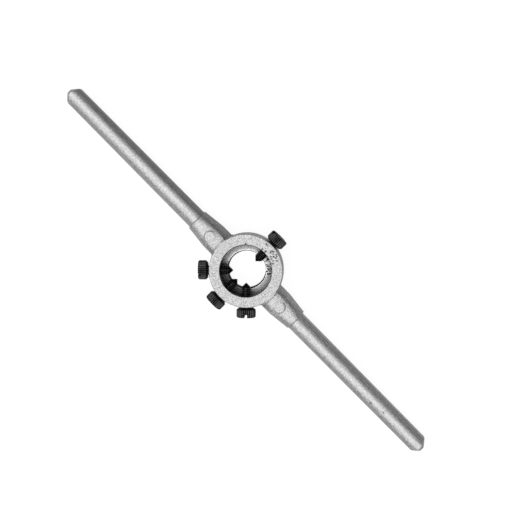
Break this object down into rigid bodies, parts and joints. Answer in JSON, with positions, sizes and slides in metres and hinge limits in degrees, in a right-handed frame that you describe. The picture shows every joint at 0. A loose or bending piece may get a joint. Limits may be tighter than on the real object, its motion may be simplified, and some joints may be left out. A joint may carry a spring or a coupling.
{
  "type": "die stock handle",
  "caption": "Die stock for round threading dies: a ring with a die seat and a see-through lip, two tapered arms on one line, and knurled cone-point screws round the ring.",
  "frame": {"origin": "centre of the ring on its back face, which is the floor plane", "axes": "+Z along the ring's axis and out of the open side of the die seat, +X along the arms, +Y towards the single clamping screw"},
  "size_m": [0.195, 0.037, 0.0113],
  "materials": {
    "cast_zinc": "zinc die casting, blasted to a satin grey with fine pits",
    "blackened_steel": "black oxide on machined and knurled steel, dull"
  },
  "bodies": {
    "stock": {"stock_body": "cast_zinc"},
    "clamping_screw": {"clamping_screw": "blackened_steel"},
    "closing_screw_left": {"closing_screw_left": "blackened_steel"},
    "spreading_screw": {"spreading_screw": "blackened_steel"},
    "closing_screw_right": {"closing_screw_right": "blackened_steel"}
  },
  "joints": [
    {"name": "clamping_screw_feed", "type": "slide", "parent": "stock", "child": "clamping_screw", "axis": [0, 1, 0], "range_m": [-0.00025, 0.0053]},
    {"name": "closing_screw_left_feed", "type": "slide", "parent": "stock", "child": "closing_screw_left", "axis": [-0.7071, -0.7071, 0], "range_m": [-0.00025, 0.0053]},
    {"name": "spreading_screw_feed", "type": "slide", "parent": "stock", "child": "spreading_screw", "axis": [0, -1, 0], "range_m": [-0.0001, 0.0054]},
    {"name": "closing_screw_right_feed", "type": "slide", "parent": "stock", "child": "closing_screw_right", "axis": [0.7071, -0.7071, 0], "range_m": [-0.00005, 0.00545]}
  ]
}
